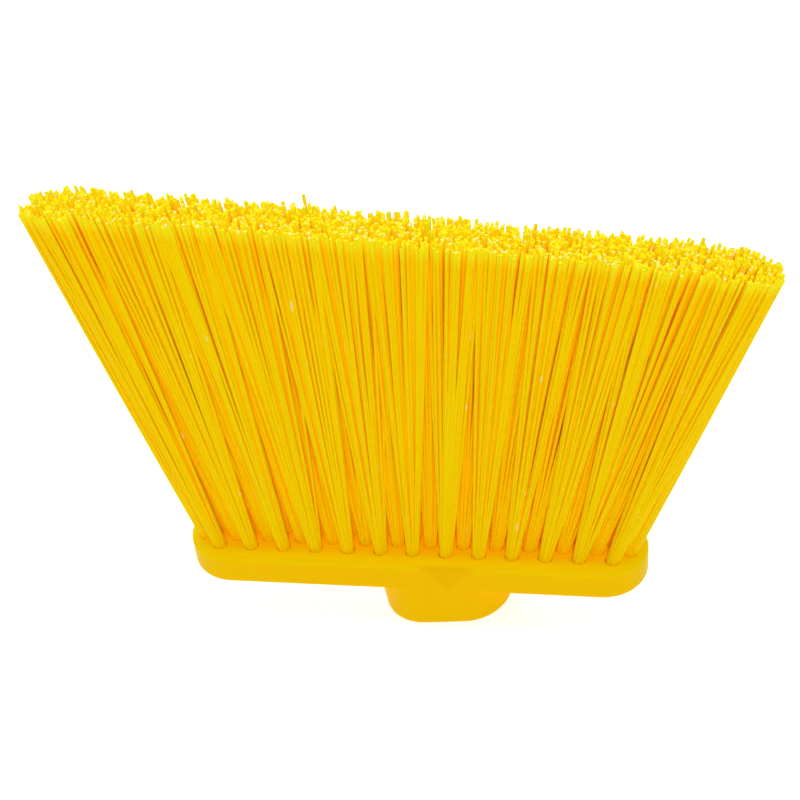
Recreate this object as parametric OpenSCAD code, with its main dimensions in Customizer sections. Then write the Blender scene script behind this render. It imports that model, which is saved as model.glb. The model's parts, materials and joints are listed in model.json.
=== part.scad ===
// Angle broom head: a moulded block with a threaded handle socket in its hub, and flared tufts of
// bristle, each folded over a flat wire anchor and set in a blind hole of its own.
// Millimetres. +Z points to the bristle tips, +X along the block to the side with the short
// bristles. The origin is the centre of the socket's mouth.

/* [Block] */
// Length of the block
block_length = 202; // [180:1:260]
// Depth of the block, front to back
block_depth = 39.4; // [37:0.2:50]
// Thickness of the block
block_height = 14.5; // [13.5:0.5:24]
// Rounding of the block's edge on the bristle side
face_round = 2.4; // [0.8:0.1:3.2]
// Rounding of the block's edge on the hub side
base_round = 1.2; // [0.4:0.1:4]

/* [Hub] */
// Width of the hub along the block
hub_width = 57.2; // [51:0.2:70]
// Length of the hub along the socket, from the mouth to the block's underside
hub_length = 20.6; // [12:0.1:40]
// Distance along the block's underside from its middle to the socket's axis
hub_offset = 10.5; // [-20:0.5:20]
// Rounding of the hub's lower edge
hub_round = 1; // [0.5:0.1:6]

/* [Socket] */
// Lean of the socket's axis towards the short bristles
socket_tilt = 6.5; // [0:0.5:12]
// Diameter of the socket's wall, at the root of its thread
socket_d = 19.6; // [15:0.1:26]
// Plastic left between the socket's end and the tuft holes
socket_floor = 2; // [0.8:0.1:3]

/* [Tufts] */
// Tufts in each of the two long rows, one more than in the three rows between and beside them
long_count = 14; // [10:1:14]
// Distance from the block's end to the first tuft of a long row
end_margin = 8; // [7.6:0.1:20]
// Distance from the block's front or back to the outer row beside it
side_margin = 8.8; // [8:0.1:10]
// Diameter of a tuft's hole
hole_d = 6.4; // [5.6:0.1:7]
// Depth of a tuft's hole along its own axis
hole_depth = 10; // [8:0.5:10.5]
// Lean of the end tufts of the long rows, to either side
fan_angle = 15.8; // [0:0.2:22]
// Lean of the whole fan towards the short bristles
fan_lean = 2.3; // [0:0.1:4]
// Clearance between a tuft's root and its hole, all round
tuft_clearance = 0.1; // [0.05:0.05:0.3]
// Height of a tuft's tight root above the block's face, along its axis
root_height = 1.5; // [1.2:0.1:5]

/* [Bristles] */
// Strands around the middle strand of a tuft
ring_strands = 6; // [4:1:8]
// Reach of a tuft's tips from its axis, along the block
tip_reach_x = 7; // [2.5:0.1:8]
// Reach of a tuft's tips from its axis, front to back
tip_reach_y = 2.6; // [1.8:0.1:2.8]
// Width of a strand at the root
strand_root_w = 1.1; // [0.6:0.1:1.2]
// Width of a strand at the tip
strand_tip_w = 1.5; // [0.6:0.1:1.6]
// Height of the trimmed tips above the block's face, at the middle of the block
trim_height = 162; // [100:1:220]
// Slope of the trimmed tips, falling towards the short bristles
trim_angle = 5.2; // [0:0.2:10]
// Drop of the trimmed tips at both ends of the fan
trim_drop = 3.5; // [0:0.5:8]

/* [Anchors] */
// Width of the flat anchor wire, along the hole
anchor_w = 2; // [1.4:0.1:3]
// Thickness of the anchor wire
anchor_t = 0.4; // [0.3:0.05:0.8]
// Bite of each end of an anchor into the wall of its hole
anchor_bite = 0.8; // [0.3:0.1:1.5]
// Distance from the bottom of the hole to the anchor
anchor_seat = 1.6; // [1:0.1:3]
// Clearance around an anchor
anchor_clearance = 0.05; // [0.02:0.01:0.1]

/* [Hidden] */
$fn = 64;

// Clearance under a tuft's root, and how far a cut runs past the solid it cuts
floor_clearance = 0.1;
overcut = 2;
// Overlap that fuses a strand to the root of its tuft
strand_sink = 0.8;
// Power of the curve by which the trim drops towards the ends of the fan
drop_power = 4;

block_x = -hub_length * sin(socket_tilt) - hub_offset;
base_z = hub_length * cos(socket_tilt);
face_z = base_z + block_height;

// The socket runs on above the block's underside as far as its floor allows
socket_bite = (block_height - hole_depth - socket_floor - socket_d / 2 * sin(socket_tilt)) / cos(socket_tilt);
socket_depth = hub_length + socket_bite;

outer_row_y = block_depth / 2 - side_margin;
row_end_x = block_length / 2 - end_margin;
tuft_pitch = 2 * row_end_x / (long_count - 1);
fan_half = row_end_x + trim_height * tan(fan_angle);
root_d = hole_d - 2 * tuft_clearance;
// The ring of strands leaves half a strand's width of root outside it
root_ring = root_d / 2 - strand_root_w;
strand_start = root_height - strand_sink;
anchor_length = hole_d + 2 * anchor_bite;

// Each row, evenly spaced: name, distance behind the block's middle line, number of tufts
rows = [
    ["front", -outer_row_y, long_count - 1],
    ["midfront", -outer_row_y / 2, long_count],
    ["middle", 0, long_count - 1],
    ["midrear", outer_row_y / 2, long_count],
    ["rear", outer_row_y, long_count - 1]
];

// The middle row, hidden by the others, is one group of separate tufts
group = "tufts_middle";
function tuft_name(row, i) =
    row[0] == "middle" ? group : str("tuft_", row[0], i < 9 ? "_0" : "_", i + 1);
function tuft_x(row, i) = (i - (row[2] - 1) / 2) * tuft_pitch;

// Each tuft: name, place along the block, place front to back
tufts = [for (row = rows) for (i = [0 : row[2] - 1]) [tuft_name(row, i), tuft_x(row, i), row[1]]];

// A tuft's strands in a circle of radius 1: one in the middle and a ring
strand_places = concat([[0, 0]], [for (k = [0 : ring_strands - 1])
    [cos(360 * k / ring_strands), sin(360 * k / ring_strands)]]);
square_corners = [[0.5, 0.5], [-0.5, 0.5], [-0.5, -0.5], [0.5, -0.5]];
strand_faces = concat(
    [[0, 1, 2], [0, 2, 3], [6, 5, 4], [7, 6, 4]],
    [for (k = [0 : 3]) [k, k + 4, (k + 1) % 4 + 4]],
    [for (k = [0 : 3]) [k, (k + 1) % 4 + 4, (k + 1) % 4]]
);

function tuft_lean(x) = fan_lean + fan_angle * x / row_end_x;
function trim_fall(x) = trim_drop * pow(abs(x) / fan_half, drop_power);
// Height at which a line from x on the face, with this lean, meets the sloping plane of the trim
function plane_height(x, lean) =
    (trim_height - tan(trim_angle) * x) / (1 + tan(trim_angle) * tan(lean));

// A corner of a strand's root, in the frame of the block's face
function root_corner(t, place, corner) =
    let (lean = tuft_lean(t[1]))
    let (u = root_ring * place[0] + strand_root_w * corner[0])
    let (v = root_ring * place[1] + strand_root_w * corner[1])
    [
        t[1] + u * cos(lean) + strand_start * sin(lean),
        t[2] + v,
        strand_start * cos(lean) - u * sin(lean)
    ];

// A corner of a strand's trimmed tip, in the same frame
function tip_corner(t, place, corner) =
    let (lean = tuft_lean(t[1]))
    let (foot = t[1] + tip_reach_x * place[0])
    let (height = plane_height(foot, lean))
    let (x = foot + height * tan(lean))
    let (dx = strand_tip_w * corner[0])
    [
        x + dx,
        t[2] + tip_reach_y * place[1] + strand_tip_w * corner[1],
        height - trim_fall(x) - dx * tan(trim_angle)
    ];

// Half of a section through a round-ended slab, from its middle line outwards
module half_profile(r, height, low_round, high_round) {
    translate([0, low_round])
        square([r, height - low_round - high_round]);
    square([r - low_round, height - high_round]);
    translate([0, low_round])
        square([r - high_round, height - low_round]);
    translate([r - low_round, low_round])
        circle(low_round);
    translate([r - high_round, height - high_round])
        circle(high_round);
}

// A slab with half-round ends and rounded edges, standing on Z = 0
module slab(length, depth, height, low_round, high_round) {
    straight = length - depth;
    for (side = [-1, 1])
        translate([side * straight / 2, 0, 0])
            rotate_extrude()
                half_profile(depth / 2, height, low_round, high_round);
    translate([-straight / 2, 0, 0])
        rotate([90, 0, 90])
            linear_extrude(straight) {
                half_profile(depth / 2, height, low_round, high_round);
                mirror([1, 0])
                    half_profile(depth / 2, height, low_round, high_round);
            }
}

// The hub, flush with the block front and back, ends half way up inside the block
module hub() {
    intersection() {
        rotate([0, -socket_tilt, 0])
            slab(hub_width, block_depth, hub_length + block_height, hub_round, hub_round);
        translate([-hub_width, -block_depth, -hub_width])
            cube([2 * hub_width, 2 * block_depth, hub_width + base_z + block_height / 2]);
    }
}

module socket() {
    rotate([0, -socket_tilt, 0])
        translate([0, 0, -overcut])
            cylinder(d = socket_d, h = socket_depth + overcut);
}

// Places children at a tuft's hole: Z = 0 at its mouth, +Z along the tuft
module at_tuft(t) {
    translate([block_x + t[1], t[2], face_z])
        rotate([0, tuft_lean(t[1]), 0])
            children();
}

module tuft_hole() {
    translate([0, 0, -hole_depth])
        cylinder(d = hole_d, h = hole_depth + hole_d);
}

// The flat wire across the bottom of a tuft's hole, grown by a clearance where it is a cut
module anchor_wire(grow = 0) {
    translate([0, 0, -hole_depth + anchor_seat + anchor_w / 2])
        cube([anchor_length + 2 * grow, anchor_t + 2 * grow, anchor_w + 2 * grow], center = true);
}

module broom_block() {
    color("gold")
        difference() {
            union() {
                translate([block_x, 0, base_z])
                    slab(block_length, block_depth, block_height, base_round, face_round);
                hub();
            }
            socket();
            for (t = tufts)
                at_tuft(t) {
                    tuft_hole();
                    anchor_wire(anchor_clearance);
                }
        }
}

module tuft_anchors() {
    color("silver")
        for (t = tufts)
            at_tuft(t)
                anchor_wire();
}

// The tight root of a tuft, with the slot that its anchor passes through
module tuft_root() {
    difference() {
        translate([0, 0, -hole_depth + floor_clearance])
            cylinder(d = root_d, h = hole_depth - floor_clearance + root_height);
        anchor_wire(anchor_clearance);
    }
}

module strand(t, place) {
    translate([block_x, 0, face_z])
        polyhedron(
            points = concat(
                [for (corner = square_corners) root_corner(t, place, corner)],
                [for (corner = square_corners) tip_corner(t, place, corner)]
            ),
            faces = strand_faces
        );
}

module tuft(t) {
    color("yellow") {
        at_tuft(t)
            tuft_root();
        for (place = strand_places)
            strand(t, place);
    }
}

broom_block();
tuft_anchors();
for (t = tufts) tuft(t);
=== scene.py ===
import json
import math
import random

import bmesh
import bpy
from bpy.props import FloatProperty, FloatVectorProperty, IntProperty, PointerProperty
from mathutils import Matrix, Vector


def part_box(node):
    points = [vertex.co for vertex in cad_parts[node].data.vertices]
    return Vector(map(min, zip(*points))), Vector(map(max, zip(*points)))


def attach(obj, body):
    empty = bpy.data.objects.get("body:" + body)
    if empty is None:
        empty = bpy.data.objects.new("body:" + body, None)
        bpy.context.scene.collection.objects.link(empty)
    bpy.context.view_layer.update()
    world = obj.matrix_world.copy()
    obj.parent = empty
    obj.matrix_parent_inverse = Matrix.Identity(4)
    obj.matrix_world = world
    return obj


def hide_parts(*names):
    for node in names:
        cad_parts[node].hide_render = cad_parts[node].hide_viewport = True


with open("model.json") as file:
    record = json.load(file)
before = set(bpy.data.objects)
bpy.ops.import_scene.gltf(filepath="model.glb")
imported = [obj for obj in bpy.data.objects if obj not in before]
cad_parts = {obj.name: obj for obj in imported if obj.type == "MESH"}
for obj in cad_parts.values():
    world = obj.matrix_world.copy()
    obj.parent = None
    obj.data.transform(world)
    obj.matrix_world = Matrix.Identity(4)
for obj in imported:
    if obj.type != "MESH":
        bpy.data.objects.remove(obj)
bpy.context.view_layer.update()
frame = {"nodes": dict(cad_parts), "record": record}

bl_info = {
    "name": "Angle Broom Head",
    "version": (1, 0, 0),
    "blender": (4, 5, 0),
    "location": "View3D > Sidebar > Broom Head",
    "description": "Dresses the angle broom head: bristles, socket thread, finishes and studio",
    "category": "Object",
}

MM = 0.001

# The block's size, its middle, its face, where the tufts come out, and the foot of its hub
BLOCK_LOW, BLOCK_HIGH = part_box("broom_block")
BLOCK_LENGTH = BLOCK_HIGH.x - BLOCK_LOW.x
BLOCK_DEPTH = BLOCK_HIGH.y - BLOCK_LOW.y
BLOCK_X = (BLOCK_LOW.x + BLOCK_HIGH.x) / 2
FACE_Z = BLOCK_HIGH.z
FLOOR_Z = BLOCK_LOW.z

SOCKET = next(m for m in frame["record"]["mounts"] if m["name"] == "handle_socket")
SOCKET_RADIUS = SOCKET["dims"]["r_mm"] * MM
SOCKET_DEPTH = SOCKET["dims"]["length_mm"] * MM
SOCKET_TILT = math.asin(SOCKET["axis"][0])

# Noise patterns, in cells to the metre, and the middle of a noise's values
TONE_SCALE = 22
GRAIN_SCALE = 1400
WIRE_SCALE = 900
NOISE_MIDDLE = 0.5

# How strongly the grain shows, the noise values between which the deeper tone gives way to the
# plain one, and what grain, tone, the painted hub shade and the scuff add to the roughness and
# the painted rim highlight takes from it
GRAIN_STRENGTH = 0.5
TONE_RANGE = (0.3, 0.7)
GRAIN_ROUGH, TONE_ROUGH, SHADE_AND_SCUFF_ROUGH, RIM_SMOOTH = 0.1, 0.08, 0.1, 0.08

# The painted highlight on the rim around the bristles: how far in from the block's side it starts
# and is full, how far down from the face it is full and ends, and how strong it is
RIM_START, RIM_FULL = 9 * MM, 3 * MM
RIM_DOWN = (0.8 * MM, 3.2 * MM)
RIM_SHARE = 0.8

# The painted shade over the hub, a darker triangle that points down: its middle, from the block's
# own, its half width and depth, how much larger it is drawn, how ragged and soft its edge is, and
# how strong it is
HUB_SHADE_X, HUB_SHADE_HALF, HUB_SHADE_DEPTH = 15.4 * MM, 13.4 * MM, 14 * MM
HUB_SHADE_SIZE, HUB_SHADE_RAGGED, HUB_SHADE_SOFT, HUB_SHADE_SHARE = 1.1, 0.3, 0.3, 0.75

# The upright scuff: its middle, from the block's own, its half width, where it starts and ends
# below the face, and how strong it is
SCUFF_X, SCUFF_HALF = 50.4 * MM, 0.6 * MM
SCUFF_TOP, SCUFF_FOOT = (2 * MM, 4 * MM), (9 * MM, 11 * MM)
SCUFF_SHARE = 0.6

# The painted hub shade and the scuff are only on the block's upright sides: how far in from them
# they start and are full
SIDE_START, SIDE_FULL = 1.5 * MM, 0.5 * MM

# Zinc in the streaks and between them, and its least roughness and what the streaks add to it
ZINC_DARK, ZINC_PALE = (0.42, 0.42, 0.41), (0.68, 0.68, 0.66)
ZINC_ROUGH, STREAK_ROUGH = 0.3, 0.25

# Patterns along a bristle: how far the pattern moves on from one tone to another, and how many
# cells it has between root and tip
STREAKS = {"apart": 90, "cells": 5}
GLINTS = {"apart": 310, "cells": 18}
# What a bristle's tone and its streaks add to the mix of deep and light, and the mix without them
TONE_SHARE, STREAK_SHARE, MIX_BASE = 0.6, 0.5, 0.2
# The values between which the painted glints appear, how strong they are, where the painted
# light on the tip starts, and the tone from which a cut end turns palest, with a painted sparkle
GLINT_RANGE, GLINT_SHARE = (0.8, 0.86), 0.6
PALE_FROM, CUT_SPARKLE_FROM = 0.95, 0.7
# What streaks and cut ends add to the bristles' roughness
STREAK_GLOSS, CUT_ROUGH = 0.12, 0.2


def length(name, description, default):
    return FloatProperty(
        name=name, description=description, default=default, unit="LENGTH", precision=5
    )


def angle(name, description, degrees):
    return FloatProperty(
        name=name, description=description, default=math.radians(degrees), unit="ROTATION"
    )


def share(name, description, default):
    return FloatProperty(
        name=name, description=description, default=default, min=0, max=1, subtype="FACTOR"
    )


def colour(name, description, default):
    return FloatVectorProperty(
        name=name, description=description, default=default, min=0, max=1, subtype="COLOR"
    )


class BlockFinish(bpy.types.PropertyGroup):
    """Finish of the moulded block."""

    body: colour("Plastic", "Colour of the moulded plastic", (1.0, 0.662, 0.0))
    shade: colour(
        "Plastic, deeper", "Colour where the moulding is a little deeper in tone",
        (1.0, 0.648, 0.0),
    )
    # Painted shade: this darker colour fills a triangle over the hub in place of its shading. It
    # is also the colour of the real scuff
    mark: colour(
        "Plastic, marked", "Colour in the flow mark over the hub and in the scuff",
        (0.98, 0.605, 0.0),
    )
    # Painted highlight: this paler rim colour stands in for light caught by the rounded edge in
    # front of the bristles
    rim: colour("Plastic, rim", "Colour of the rubbed rim around the bristles", (1.0, 0.77, 0.0))
    gloss: share("Roughness", "Roughness of the moulded skin", 0.36)
    grain: length("Grain", "Depth of the fine grain left by the mould", 0.01 * MM)


class BristleSet(bpy.types.PropertyGroup):
    """Shape and finish of the bristles."""

    strand: length("Strand", "Diameter of one bristle at its root", 0.88 * MM)
    strand_tip: length("Strand Tip", "Diameter of one bristle at its tip", 1.42 * MM)
    layers: FloatProperty(
        name="Layers", description="Bristles from a tuft's middle to its edge",
        default=3.0, min=1, max=4,
    )
    root: length("Root", "Diameter of a tuft where it leaves its hole", 5.9 * MM)
    sunk: length("Sunk", "Depth of the bristles' lower ends in the hole", 8.4 * MM)
    end_margin: length(
        "End Margin", "From the block's end to the first tuft of a long row", 8 * MM
    )
    fan: angle("Fan", "Lean of the end tufts to either side", 15.8)
    lean: angle("Lean", "Lean of the whole fan towards the short bristles", 2.3)
    reach_along: length("Reach Along", "Reach of a tuft's tips along the block", 12.4 * MM)
    reach_across: length("Reach Across", "Reach of a tuft's tips front to back", 2.8 * MM)
    close: share("Close In", "How far the rows lean towards each other at their tips", 0.24)
    trim: length("Trim", "Height of the cut tips above the face, mid-block", 162.6 * MM)
    trim_slope: angle("Trim Slope", "Slope of the cut tips", 5.2)
    edge_long: length(
        "Edge, Long End", "Reach of the tips past the last tuft at the long bristles' end",
        5.6 * MM,
    )
    edge_short: length(
        "Edge, Short End", "Reach of the tips past the last tuft at the short bristles' end",
        6.6 * MM,
    )
    drop_long: length(
        "Drop, Long End", "Drop of the cut tips at the long bristles' end of the fan", 3.5 * MM
    )
    drop_short: length(
        "Drop, Short End", "Drop of the cut tips at the short bristles' end of the fan", 2.8 * MM
    )
    uneven: length("Uneven", "Usual scatter of the tips' height", 0.6 * MM)
    clump: share("Clump", "How far the tips gather into clumps", 0.3)
    stray: share("Strays", "Share of bristles that stick out or cross the others", 0.04)
    seed: IntProperty(name="Seed", description="Start of the random draws", default=11)
    light: colour("Bristle", "Colour of the bristles", (1.0, 0.76, 0.0))
    deep: colour("Bristle, deeper", "Colour of the deeper-toned bristles", (1.0, 0.72, 0.0))
    # Painted light: the bristles' sides turn this paler colour at their tips, where more light
    # falls
    pale: colour(
        "Bristle, tip", "Colour that the bristles fade to at their tips", (1.0, 0.895, 0.01)
    )
    # Painted glints: small pale specks along the bristles
    painted_glint: colour("Nick", "Colour of the small pale nicks along the bristles", (1.0, 0.88, 0.25))
    # The cut ends are paler plastic, brightened further as painted light on the tips; the palest
    # get a painted sparkle
    cut: colour("Cut End", "Colour of the cut ends", (1.0, 0.89, 0.01))
    cut_sparkle: colour("Cut End, palest", "Colour of the palest cut ends", (1.0, 0.96, 0.3))
    gloss: share("Roughness", "Roughness of the bristles", 0.38)


class ThreadForm(bpy.types.PropertyGroup):
    """Form of the ridge in the handle socket."""

    pitch: length("Pitch", "Rise of the ridge in one turn", 5.08 * MM)
    crest: length("Crest Radius", "Radius of the ridge's crest", 8.2 * MM)
    crest_width: length("Crest Width", "Width of the ridge at its crest", 1.3 * MM)
    foot_width: length("Foot Width", "Width of the ridge at the wall", 3.0 * MM)
    start: length("Start", "From the socket's mouth to the ridge's start", 1.6 * MM)


class StudioSet(bpy.types.PropertyGroup):
    """Camera and floor."""

    floor: colour("Floor", "Colour of the floor", (0.98, 0.98, 0.98))
    glow: colour(
        "Floor Glow", "Background white that the floor shows around the object",
        (0.55, 0.55, 0.55),
    )
    near: length(
        "Glow, Near", "Distance from the object at which the floor's glow starts to grow", 0.35
    )
    far: length(
        "Glow, Far", "Distance from the object at which the floor is as white as the background",
        1.2,
    )
    target: FloatVectorProperty(
        name="Target", description="Point that the camera looks at",
        default=(BLOCK_X - 0.99 * MM, 0, FACE_Z + 77.72 * MM), unit="LENGTH",
    )
    distance: length("Distance", "Distance from the camera to its target", 0.67813)
    yaw: angle("Yaw", "Turn of the view to the left", 11.48)
    pitch: angle("Pitch", "How far the camera looks down", 40.53)
    roll: angle("Roll", "Roll of the camera", -5.86)
    lens: FloatProperty(
        name="Lens", description="Focal length on a 36 mm sensor, in millimetres",
        default=74.79, unit="CAMERA",
    )


class Wire:
    """One output of a material node. Sums on it add Math nodes."""

    def __init__(self, socket):
        self.socket = socket

    @classmethod
    def node(cls, tree, kind, settings=None, inputs=None, output=0):
        """Adds a node of this kind, and gives one of its outputs."""
        made = tree.nodes.new(kind)
        for name, value in (settings or {}).items():
            setattr(made, name, value)
        dress(tree, made, inputs or {})
        return cls(made.outputs[output])

    def math(self, operation, *terms, clamp=False):
        settings = {"operation": operation, "use_clamp": clamp}
        return Wire.node(self.socket.id_data, "ShaderNodeMath", settings, dict(enumerate(terms)))

    def __add__(self, other):
        return self.math("ADD", self, other)

    __radd__ = __add__

    def __sub__(self, other):
        return self.math("SUBTRACT", self, other)

    def __rsub__(self, other):
        return self.math("SUBTRACT", other, self)

    def __mul__(self, other):
        return self.math("MULTIPLY", self, other)

    __rmul__ = __mul__

    def __truediv__(self, other):
        return self.math("DIVIDE", self, other)

    def __lt__(self, other):
        return self.math("LESS_THAN", self, other)

    def __pow__(self, other):
        return self.math("POWER", self, other)

    def __abs__(self):
        return self.math("ABSOLUTE", self)

    def at_least(self, other):
        return self.math("MAXIMUM", self, other)

    def within(self, low, high):
        """0 at low and below, 1 at high and above, with a soft change between."""
        settings = {"interpolation_type": "SMOOTHSTEP"}
        inputs = {"Value": self, "From Min": low, "From Max": high}
        return Wire.node(self.socket.id_data, "ShaderNodeMapRange", settings, inputs)

    def tint(self, low, high):
        """A colour that goes from low to high as this value goes from 0 to 1."""
        # A Mix node's factor is its socket 0. Set to colours, it has them at 6 and 7, and its
        # result at 2
        inputs = {0: self}
        for place, end in ((6, low), (7, high)):
            inputs[place] = end if isinstance(end, Wire) else (*end, 1)
        return Wire.node(self.socket.id_data, "ShaderNodeMix", {"data_type": "RGBA"}, inputs, 2)


def dress(tree, node, inputs):
    """Links or sets a node's inputs."""
    for name, value in inputs.items():
        if isinstance(value, Wire):
            tree.links.new(value.socket, node.inputs[name])
        else:
            node.inputs[name].default_value = value


def new_finish(name):
    """A material with one Principled shader: the material, its node tree and the shader."""
    material = bpy.data.materials.new(name)
    material.use_nodes = True
    tree = material.node_tree
    tree.nodes.clear()
    shader = tree.nodes.new("ShaderNodeBsdfPrincipled")
    output = tree.nodes.new("ShaderNodeOutputMaterial")
    tree.links.new(shader.outputs[0], output.inputs["Surface"])
    return material, tree, shader


def noise(tree, vector, scale=1, detail=2.0, roughness=0.5):
    inputs = {"Vector": vector, "Scale": scale, "Detail": detail, "Roughness": roughness}
    return Wire.node(tree, "ShaderNodeTexNoise", None, inputs)


def moulded_plastic(name):
    """Satin yellow plastic: faint grain, slow changes of tone, a painted rim highlight, painted
    shade over the hub and a scuff.
    """
    look = bpy.context.scene.broom_block
    material, tree, shader = new_finish(name)
    place = Wire.node(tree, "ShaderNodeTexCoord", output="Object")
    slow = noise(tree, place, TONE_SCALE, detail=3)
    grain = noise(tree, place, GRAIN_SCALE)
    bump = Wire.node(
        tree, "ShaderNodeBump", None,
        {"Strength": GRAIN_STRENGTH, "Distance": look.grain, "Height": grain},
    )
    body = slow.within(*TONE_RANGE).tint(look.shade, look.body)
    rim, painted_shade_and_scuff_mask = block_masks(tree, place, slow)
    # Painted highlight: the rim around the bristles is made paler
    body = (RIM_SHARE * rim).tint(body, look.rim)
    rough = look.gloss + GRAIN_ROUGH * (grain - NOISE_MIDDLE) + TONE_ROUGH * (slow - NOISE_MIDDLE)
    # Painted shade: the triangle over the hub is darkened, in the same colour as the real scuff
    dress(tree, shader, {
        "Base Color": painted_shade_and_scuff_mask.tint(body, look.mark),
        "Roughness": rough + SHADE_AND_SCUFF_ROUGH * painted_shade_and_scuff_mask - RIM_SMOOTH * rim,
        "Specular IOR Level": 0.015,
        "Diffuse Roughness": 1.0,
        "Normal": bump,
    })
    return material


def block_masks(tree, place, slow):
    """Where the painted highlight on the block's rim is, and where the painted shade over the hub
    and the scuff are.
    """
    split = Wire.node(tree, "ShaderNodeSeparateXYZ", None, {0: place}).socket.node.outputs
    x, y, z = (Wire(output) for output in split)
    half = BLOCK_DEPTH / 2
    past = (abs(x - BLOCK_X) - (BLOCK_LENGTH / 2 - half)).at_least(0)
    out = (past * past + y * y) ** 0.5
    below = FACE_Z - z
    # Painted highlight along the rounded rim in front of the bristles
    rim = out.within(half - RIM_START, half - RIM_FULL) * (1 - below.within(*RIM_DOWN))
    side = abs(y).within(half - SIDE_START, half - SIDE_FULL)
    # Painted shade: a darker triangle over the hub
    painted_hub_shade = HUB_SHADE_SIZE - abs(x - BLOCK_X - HUB_SHADE_X) / HUB_SHADE_HALF - below / HUB_SHADE_DEPTH
    painted_hub_shade = painted_hub_shade + HUB_SHADE_RAGGED * (slow - NOISE_MIDDLE)
    scuff = (1 - abs(x - BLOCK_X - SCUFF_X) / SCUFF_HALF).at_least(0) * below.within(*SCUFF_TOP)
    scuff = scuff * (1 - below.within(*SCUFF_FOOT)) * (y < 0)
    return rim, side * (HUB_SHADE_SHARE * painted_hub_shade.within(0, HUB_SHADE_SOFT)).at_least(SCUFF_SHARE * scuff)


def galvanised_wire(name):
    """Zinc-grey wire with drawn streaks."""
    material, tree, shader = new_finish(name)
    place = Wire.node(tree, "ShaderNodeTexCoord", output="Object")
    streaks = noise(tree, place, WIRE_SCALE, detail=4, roughness=0.6)
    dress(tree, shader, {
        "Base Color": streaks.tint(ZINC_DARK, ZINC_PALE),
        "Roughness": ZINC_ROUGH + STREAK_ROUGH * streaks,
        "Metallic": 1.0,
    })
    return material


def bristle_plastic(name):
    """Extruded filament: each bristle has its own tone, painted light towards its tip and painted
    glints along it; its cut end is paler, partly its own colour and partly painted light, with a
    painted sparkle on the palest.
    """
    look = bpy.context.scene.broom_bristles
    material, tree, shader = new_finish(name)
    tone, run, cut = (
        Wire.node(tree, "ShaderNodeAttribute", {"attribute_name": layer}, output="Fac")
        for layer in ("tone", "run", "cut")
    )

    def pattern(apart, cells, detail):
        spread = {0: tone * apart, 1: run * cells}
        return noise(tree, Wire.node(tree, "ShaderNodeCombineXYZ", None, spread), detail=detail)

    streak = pattern(**STREAKS, detail=2)
    mixed = TONE_SHARE * tone + STREAK_SHARE * (streak - NOISE_MIDDLE) + MIX_BASE
    side = mixed.within(0, 1).tint(look.deep, look.light)
    # Painted light: the sides turn paler over the last part towards the tip
    side = run.within(PALE_FROM, 1).tint(side, look.pale)
    # Painted glints: small pale specks along the bristles
    painted_glints = pattern(**GLINTS, detail=0).within(*GLINT_RANGE)
    side = (GLINT_SHARE * painted_glints).tint(side, look.painted_glint)
    # The cut ends: their own paler colour with painted light on the tips, and a painted sparkle on
    # the palest
    dress(tree, shader, {
        "Base Color": cut.tint(side, tone.within(CUT_SPARKLE_FROM, 1).tint(look.cut, look.cut_sparkle)),
        "Roughness": look.gloss + STREAK_GLOSS * (streak - NOISE_MIDDLE) + CUT_ROUGH * cut,
        "Specular IOR Level": 0.02,
        "Diffuse Roughness": 0.25,
    })
    return material


def new_piece(name, bm, material):
    """Makes the mesh an object at the origin that rides on the broom head."""
    mesh = bpy.data.meshes.new(name)
    bm.to_mesh(mesh)
    bm.free()
    mesh.materials.append(material)
    piece = bpy.data.objects.new(name, mesh)
    bpy.context.scene.collection.objects.link(piece)
    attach(piece, "root")
    return piece


def cad_finish(node, material):
    """Gives a solid of the packed model its finish."""
    for slot in frame["nodes"][node].material_slots:
        slot.material = material


def packed_places(layers):
    """Places in a close-packed round bundle, the outermost at a distance of 1."""
    steps = range(-math.ceil(layers), math.ceil(layers) + 1)
    grid = [Vector((i + j / 2, j * math.sqrt(3) / 2)) for i in steps for j in steps]
    places = [place for place in grid if place.length <= layers]
    return [place / max(p.length for p in places) for place in places]


def row_nodes(row):
    """The node of each tuft in a row. Those of the middle row, as many as in front, share one."""
    if row == "middle":
        return ["tufts_middle"] * len(row_nodes("front"))
    return sorted(name for name in frame["nodes"] if name.startswith(f"tuft_{row}_"))


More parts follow.
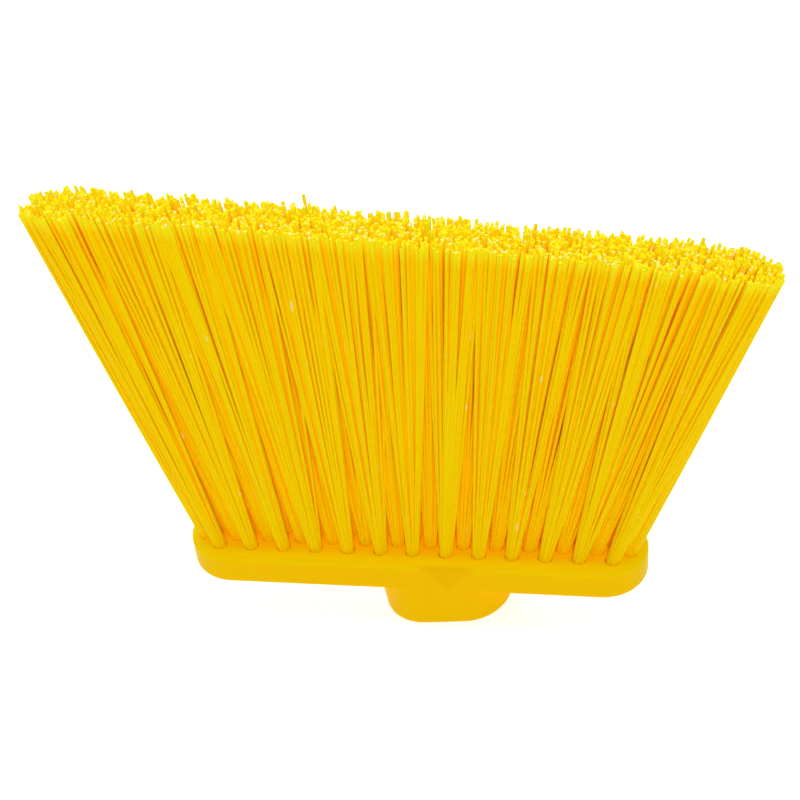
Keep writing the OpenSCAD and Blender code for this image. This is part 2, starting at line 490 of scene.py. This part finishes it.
class Tuft:
    """One tuft: where its hole is, how it leans and how its bristles run."""

    # Shares of a bristle's length at which it has a ring of vertices, and the corners of a ring
    STATIONS = (0.0, 0.12, 0.3, 0.52, 0.76, 1.0)
    SIDES = 8
    # How early a bristle thickens, and how late the cut drops towards the ends of the fan
    SWELL_POWER = 0.3
    DROP_POWER = 5
    # Of a whole tuft: how far the end tufts are pressed outwards in their holes, the scatter of
    # that, and the scatter of its tips along and across the block, in millimetres
    PRESS, PRESS_SCATTER = 0.2, 0.03
    SWAY_ALONG, SWAY_ACROSS = 1.6, 0.5
    # The least and most of its spread, and the number of clumps that its tips gather into
    SPREAD = (0.88, 1.12)
    CLUMPS = 7
    # Of one bristle: the scatter of its tip, in shares of the tuft's reach, and of its bow, in
    # millimetres
    TIP_ALONG, TIP_ACROSS = 0.1, 0.14
    BOW_ALONG, BOW_ACROSS = 0.5, 0.35
    # Of a stray: the scatter of its tip, the least and most of its extra height, all in
    # millimetres, and how many times more it bows
    STRAY_ALONG, STRAY_ACROSS = 5, 1
    STRAY_HEIGHT = (-1.5, 3.5)
    STRAY_BOW = 2.5
    # Usual slant of a cut end
    CUT_SLANT = 0.3
    # The flat layout, in shares of a column's width and of the height: the place and size of a
    # bristle's side in its column, and the middles and half size of its two ends
    SIDE_LEFT, SIDE_WIDTH = 0.08, 0.84
    SIDE_LOW, SIDE_HEIGHT = 0.06, 0.88
    ROOT_MIDDLE, TIP_MIDDLE, END_HALF = 0.025, 0.975, 0.02

    def __init__(self, node, number, count, look):
        low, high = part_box(node)
        half_row = BLOCK_LENGTH / 2 - look.end_margin
        pitch = 2 * half_row / (len(row_nodes("midfront")) - 1)
        self.look = look
        self.x = (number - (count + 1) / 2) * pitch
        # Only the long rows reach the end. The others stop half a pitch before it
        self.at_end = abs(self.x) > half_row - pitch / 4
        self.y = (low.y + high.y) / 2
        self.lean = look.lean + look.fan * self.x / half_row
        self.fan_half = half_row + look.trim * math.tan(look.fan)
        self.axis = Vector((math.sin(self.lean), 0, math.cos(self.lean)))
        self.flat = Vector((math.cos(self.lean), 0, -math.sin(self.lean)))
        self.foot = Vector((BLOCK_X + self.x, self.y, FACE_Z))

    def tip(self, along, across, extra):
        """Where a bristle that ends this far from the tuft's axis meets the slanting cut."""
        look = self.look
        slope, lean = math.tan(look.trim_slope), math.tan(self.lean)
        foot = self.x + along
        height = (look.trim - slope * foot) / (1 + slope * lean)
        x = foot + height * lean
        drop = look.drop_long if x < 0 else look.drop_short
        height += extra - drop * (abs(x) / self.fan_half) ** self.DROP_POWER
        y = self.y * (1 - look.close) + across
        return Vector((BLOCK_X + foot + height * lean, y, FACE_Z + height))

    def routes(self, rng):
        """The line that each bristle follows, from its lower end to its tip."""
        look = self.look
        ring = (look.root - look.strand) / 2
        # The packing looks the same after every sixth of a turn
        turn = Matrix.Rotation(rng.uniform(0, math.pi / 3), 2)
        press = self.lean / look.fan * self.PRESS + rng.gauss(0, self.PRESS_SCATTER)
        shift = Vector((press, rng.gauss(0, self.PRESS_SCATTER))) * MM
        sway = Vector((rng.gauss(0, self.SWAY_ALONG), rng.gauss(0, self.SWAY_ACROSS))) * MM
        wide = rng.uniform(*self.SPREAD)
        places = [turn @ place for place in packed_places(look.layers)]
        middles = [rng.choice(places) for _ in range(self.CLUMPS)]
        for place in places:
            root = self.foot + self.flat * (place.x * ring + shift.x)
            root += Vector((0, place.y * ring + shift.y, 0))
            gathered = place.lerp(min(middles, key=lambda m: (m - place).length), look.clump)
            gathered += Vector((rng.gauss(0, self.TIP_ALONG), rng.gauss(0, self.TIP_ACROSS)))
            along = gathered.x * look.reach_along * wide + sway.x
            across = gathered.y * look.reach_across + sway.y
            extra = rng.gauss(0, look.uneven)
            bow = Vector((rng.gauss(0, self.BOW_ALONG), rng.gauss(0, self.BOW_ACROSS), 0)) * MM
            if rng.random() < look.stray:
                along += rng.gauss(0, self.STRAY_ALONG) * MM
                across += rng.gauss(0, self.STRAY_ACROSS) * MM
                extra += rng.uniform(*self.STRAY_HEIGHT) * MM
                bow *= self.STRAY_BOW
            # The outermost bristles keep to the fan's straight edge
            if self.at_end and along * self.x > 0:
                edge = look.edge_long if self.x < 0 else look.edge_short
                along *= edge / max(look.reach_along, abs(along))
                bow.x = 0
            yield self.route(root, self.tip(along, across, extra), bow)

    def route(self, root, tip, bow):
        line = [root - self.axis * self.look.sunk]
        line += [root.lerp(tip, s) + bow * math.sin(math.pi * s) for s in self.STATIONS]
        return line

    def mesh(self, rng):
        """The tuft's bristles: circles drawn out along their routes and closed at both ends."""
        bm = bmesh.new()
        strand_of = bm.verts.layers.int.new("strand")
        side_of = bm.verts.layers.int.new("side")
        run_of = bm.verts.layers.float.new("run")
        tone_of = bm.verts.layers.float.new("tone")
        cut_of = bm.faces.layers.float.new("cut")
        upright = Matrix.Rotation(self.lean, 4, "Y")
        routes = list(self.routes(rng))
        slant = self.CUT_SLANT
        cuts = [Vector((rng.gauss(0, slant), rng.gauss(0, slant), 0)) for _ in routes]
        for number, route in enumerate(routes):
            tone = rng.random()
            turn = Matrix.Rotation(rng.uniform(0, math.pi), 4, "Z")
            matrix = Matrix.Translation(route[0]) @ upright @ turn
            circle = bmesh.ops.create_circle(
                bm, cap_ends=True, radius=self.look.strand / 2, segments=self.SIDES, matrix=matrix
            )
            for side, vert in enumerate(circle["verts"]):
                vert[strand_of], vert[side_of], vert[tone_of] = number, side, tone
        edges = list(bm.edges)
        swell = self.look.strand_tip / self.look.strand - 1
        width = 1
        for step, run in enumerate(self.STATIONS, 1):
            grow = (1 + swell * run ** self.SWELL_POWER) / width
            width *= grow
            drawn = bmesh.ops.extrude_edge_only(bm, edges=edges)["geom"]
            verts = {item for item in drawn if isinstance(item, bmesh.types.BMVert)}
            edges = [item for item in drawn if isinstance(item, bmesh.types.BMEdge)]
            edges = [edge for edge in edges if verts.issuperset(edge.verts)]
            for vert in verts:
                route = routes[vert[strand_of]]
                vert.co = route[step] + grow * (vert.co - route[step - 1])
                vert[run_of] = run
        for vert in verts:
            number = vert[strand_of]
            vert.co.z += (vert.co - routes[number][-1]).dot(cuts[number])
        for face in bmesh.ops.edgeloop_fill(bm, edges=edges)["faces"]:
            face[cut_of] = 1
        bmesh.ops.recalc_face_normals(bm, faces=bm.faces)
        self.lay_out(bm, strand_of, side_of, run_of, len(routes))
        for layer in ("strand", "side"):
            bm.verts.layers.int.remove(bm.verts.layers.int[layer])
        return bm

    def lay_out(self, bm, strand_of, side_of, run_of, count):
        """A flat layout: one column for each bristle, with its two ends in the margins."""
        layout = bm.loops.layers.uv.new("OFBake")
        for face in bm.faces:
            sides = [loop.vert[side_of] for loop in face.loops]
            wraps = len(sides) == 4 and {0, self.SIDES - 1} <= set(sides)
            for loop, side in zip(face.loops, sides):
                run = loop.vert[run_of]
                if len(sides) == 4:
                    u = (self.SIDES if wraps and side == 0 else side) / self.SIDES
                    v = self.SIDE_LOW + self.SIDE_HEIGHT * run
                else:
                    turn = 2 * math.pi * side / self.SIDES
                    u = (1 + math.cos(turn)) / 2
                    middle = self.TIP_MIDDLE if run > 0.5 else self.ROOT_MIDDLE
                    v = middle + self.END_HALF * math.sin(turn)
                column = loop.vert[strand_of] + self.SIDE_LEFT + self.SIDE_WIDTH * u
                loop[layout].uv = (column / count, v)


class BROOM_OT_block(bpy.types.Operator):
    """Gives the moulded block its plastic finish"""

    bl_idname = "broom_head.finish_block"
    bl_label = "Finish Block"

    def execute(self, context):
        cad_finish("broom_block", moulded_plastic("moulded_plastic"))
        return {"FINISHED"}


class BROOM_OT_anchors(bpy.types.Operator):
    """Gives the wire anchors in the tuft holes their finish"""

    bl_idname = "broom_head.finish_anchors"
    bl_label = "Finish Wire Anchors"

    def execute(self, context):
        cad_finish("tuft_anchors", galvanised_wire("galvanised_wire"))
        return {"FINISHED"}


class BROOM_OT_thread(bpy.types.Operator):
    """Winds the thread's ridge around the wall of the handle socket"""

    bl_idname = "broom_head.wind_thread"
    bl_label = "Wind Socket Thread"

    # Steps in one turn, and those over which each end of the ridge rises from the wall
    STEPS = 40
    FADE = 12
    # How deep the ridge's foot is in the wall, the rounding of its crest, and the share of its
    # height at its very ends
    SUNK = 0.15 * MM
    ROUND = 0.3 * MM
    STUB = 0.04

    def execute(self, context):
        form = context.scene.broom_thread
        bm = bmesh.new()
        corner_of = bm.verts.layers.int.new("corner")
        wall, crest = SOCKET_RADIUS + self.SUNK, form.crest
        half_foot, half_crest = form.foot_width / 2, form.crest_width / 2
        shoulder, flat = half_crest + self.ROUND / 2, half_crest - self.ROUND
        profile = [
            (wall, -half_foot), (crest + self.ROUND, -shoulder), (crest, -flat),
            (crest, flat), (crest + self.ROUND, shoulder), (wall, half_foot),
        ]
        low = form.start + half_foot
        verts = [bm.verts.new((radius, 0, low + height)) for radius, height in profile]
        for number, vert in enumerate(verts):
            vert[corner_of] = number
        edges = [bm.edges.new((vert, verts[number - 1])) for number, vert in enumerate(verts)]
        rise = form.pitch / self.STEPS
        steps = int((SOCKET_DEPTH - low - half_foot - form.start) / rise)
        bmesh.ops.spin(
            bm, geom=verts + edges, cent=(0, 0, 0), axis=(0, 0, 1), dvec=(0, 0, rise),
            angle=2 * math.pi * steps / self.STEPS, steps=steps, use_merge=False,
        )
        for vert in bm.verts:
            radius, height = profile[vert[corner_of]]
            step = (vert.co.z - low - height) / rise
            stands = max(0, min(1, step / self.FADE, (steps - step) / self.FADE))
            wanted = wall + (radius - wall) * (self.STUB + (1 - self.STUB) * stands)
            vert.co.x *= wanted / radius
            vert.co.y *= wanted / radius
        ends = [edge for edge in bm.edges if edge.is_boundary]
        bmesh.ops.holes_fill(bm, edges=ends, sides=len(profile))
        bmesh.ops.recalc_face_normals(bm, faces=bm.faces)
        for face in bm.faces:
            face.smooth = True
        bmesh.ops.transform(bm, matrix=Matrix.Rotation(-SOCKET_TILT, 4, "Y"), verts=bm.verts)
        bm.verts.layers.int.remove(bm.verts.layers.int["corner"])
        new_piece("socket_thread", bm, moulded_plastic("thread_plastic"))
        return {"FINISHED"}


class BROOM_OT_tufts(bpy.types.Operator):
    """Sets every tuft's bristles in its hole, in place of the solid tuft"""

    bl_idname = "broom_head.set_tufts"
    bl_label = "Set Bristle Tufts"

    def execute(self, context):
        look = context.scene.broom_bristles
        material = bristle_plastic("bristle_plastic")
        for row in ("front", "midfront", "middle", "midrear", "rear"):
            nodes = row_nodes(row)
            for number, node in enumerate(nodes, 1):
                name = f"bristles_{row}_{number:02d}"
                rng = random.Random(f"{look.seed} {name}")
                bm = Tuft(node, number, len(nodes), look).mesh(rng)
                piece = new_piece(name, bm, material)
                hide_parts(node)
        return {"FINISHED"}


class BROOM_OT_studio(bpy.types.Operator):
    """Puts up the floor, the lamps and the camera"""

    bl_idname = "broom_head.set_studio"
    bl_label = "Set Studio"

    # Each lamp's name, place, width and power
    LAMPS = (
        ("front_lamp", (0.26, -1.34, 1.28), 0.3, 11.6),
        ("top_lamp", (0.0, 0.3, 1.6), 1.2, 8.8),
        ("rear_lamp", (-0.6, 1.3, 1.0), 1.2, 10),
    )
    # The point that the lamps are aimed at, above the block's face
    AIM_HEIGHT = 60 * MM
    # Light from all around, as a share of the background's white
    AMBIENT = 0.28
    # How many times light may pass from one bristle to another
    BOUNCES = 96
    FLOOR_HALF = 6
    # The camera's sensor, in millimetres, and the nearest that it sees
    SENSOR_WIDTH = 36
    CLIP_START = 10 * MM

    def execute(self, context):
        look = context.scene.broom_studio
        context.scene.view_settings.view_transform = "Standard"
        context.scene.cycles.max_bounces = self.BOUNCES
        context.scene.cycles.diffuse_bounces = self.BOUNCES
        self.floor(look)
        self.surroundings(context)
        for lamp in self.LAMPS:
            self.lamp(context, *lamp)
        self.camera(context, look)
        return {"FINISHED"}

    @staticmethod
    def seen(tree):
        """1 for the rays that show the background, straight or in gloss or glass, or else 0."""
        outputs = Wire.node(tree, "ShaderNodeLightPath").socket.node.outputs
        straight, gloss, glass = (
            Wire(outputs[f"Is {kind} Ray"]) for kind in ("Camera", "Glossy", "Transmission")
        )
        return straight.math("ADD", straight + gloss, glass, clamp=True)

    def floor(self, look):
        bm = bmesh.new()
        bmesh.ops.create_grid(bm, x_segments=1, y_segments=1, size=self.FLOOR_HALF)
        bmesh.ops.translate(bm, vec=(0, 0, FLOOR_Z), verts=bm.verts)
        mesh = bpy.data.meshes.new("studio_floor")
        bm.to_mesh(mesh)
        bm.free()
        material, tree, shader = new_finish("floor_paint")
        place = Wire.node(tree, "ShaderNodeTexCoord", output="Object")
        away = Wire.node(
            tree, "ShaderNodeVectorMath", {"operation": "LENGTH"}, {0: place}, "Value"
        )
        glow = away.within(look.near, look.far).tint(look.glow, (1, 1, 1))
        dress(tree, shader, {
            "Base Color": (*look.floor, 1),
            "Roughness": 0.9,
            "Specular IOR Level": 0.0,
            "Emission Color": self.seen(tree).tint((0, 0, 0), glow),
            "Emission Strength": 1.0,
        })
        mesh.materials.append(material)
        floor = bpy.data.objects.new("studio_floor", mesh)
        bpy.context.scene.collection.objects.link(floor)

    def surroundings(self, context):
        world = bpy.data.worlds.new("studio_white")
        world.use_nodes = True
        tree = world.node_tree
        tree.nodes.clear()
        strength = self.AMBIENT + (1 - self.AMBIENT) * self.seen(tree)
        light = Wire.node(
            tree, "ShaderNodeBackground", None, {"Color": (1, 1, 1, 1), "Strength": strength}
        )
        output = tree.nodes.new("ShaderNodeOutputWorld")
        tree.links.new(light.socket, output.inputs["Surface"])
        context.scene.world = world

    def lamp(self, context, name, place, size, power):
        data = bpy.data.lights.new(name, "AREA")
        data.size = size
        data.energy = power
        lamp = bpy.data.objects.new(name, data)
        aim = Vector((BLOCK_X, 0, FACE_Z + self.AIM_HEIGHT)) - Vector(place)
        turned = aim.to_track_quat("-Z", "Y").to_matrix().to_4x4()
        lamp.matrix_world = Matrix.Translation(place) @ turned
        context.scene.collection.objects.link(lamp)

    def camera(self, context, look):
        yaw, pitch, roll = look.yaw, look.pitch, look.roll
        ahead = Vector((
            -math.sin(yaw) * math.cos(pitch), math.cos(yaw) * math.cos(pitch), -math.sin(pitch)
        ))
        level = Vector((math.cos(yaw), math.sin(yaw), 0))
        above = level.cross(ahead)
        right = level * math.cos(roll) + above * math.sin(roll)
        up = above * math.cos(roll) - level * math.sin(roll)
        data = bpy.data.cameras.new("photo_camera")
        data.lens = look.lens
        data.sensor_width = self.SENSOR_WIDTH
        data.clip_start = self.CLIP_START
        camera = bpy.data.objects.new("photo_camera", data)
        place = Vector(look.target) - ahead * look.distance
        turned = Matrix((right, up, -ahead)).transposed().to_4x4()
        camera.matrix_world = Matrix.Translation(place) @ turned
        context.scene.collection.objects.link(camera)
        context.scene.camera = camera


OPERATORS = (BROOM_OT_block, BROOM_OT_anchors, BROOM_OT_thread, BROOM_OT_tufts, BROOM_OT_studio)
SETTINGS = {
    "broom_block": BlockFinish,
    "broom_bristles": BristleSet,
    "broom_thread": ThreadForm,
    "broom_studio": StudioSet,
}


class BROOM_PT_sidebar(bpy.types.Panel):
    """The broom head's settings and steps"""

    bl_idname = "BROOM_PT_sidebar"
    bl_label = "Angle Broom Head"
    bl_space_type = "VIEW_3D"
    bl_region_type = "UI"
    bl_category = "Broom Head"

    def draw(self, context):
        for operator in OPERATORS:
            self.layout.operator(operator.bl_idname)
        for setting, group in SETTINGS.items():
            box = self.layout.box()
            box.label(text=group.__doc__.rstrip("."))
            for name in group.__annotations__:
                box.prop(getattr(context.scene, setting), name)


def register():
    for group in SETTINGS.values():
        bpy.utils.register_class(group)
    for setting, group in SETTINGS.items():
        setattr(bpy.types.Scene, setting, PointerProperty(type=group))
    for part in (*OPERATORS, BROOM_PT_sidebar):
        bpy.utils.register_class(part)


def unregister():
    for part in (BROOM_PT_sidebar, *reversed(OPERATORS)):
        bpy.utils.unregister_class(part)
    for setting, group in SETTINGS.items():
        delattr(bpy.types.Scene, setting)
        bpy.utils.unregister_class(group)


def main():
    register()
    bpy.ops.broom_head.finish_block()
    bpy.ops.broom_head.finish_anchors()
    bpy.ops.broom_head.wind_thread()
    bpy.ops.broom_head.set_tufts()
    bpy.ops.broom_head.set_studio()


if __name__ == "__main__":
    main()
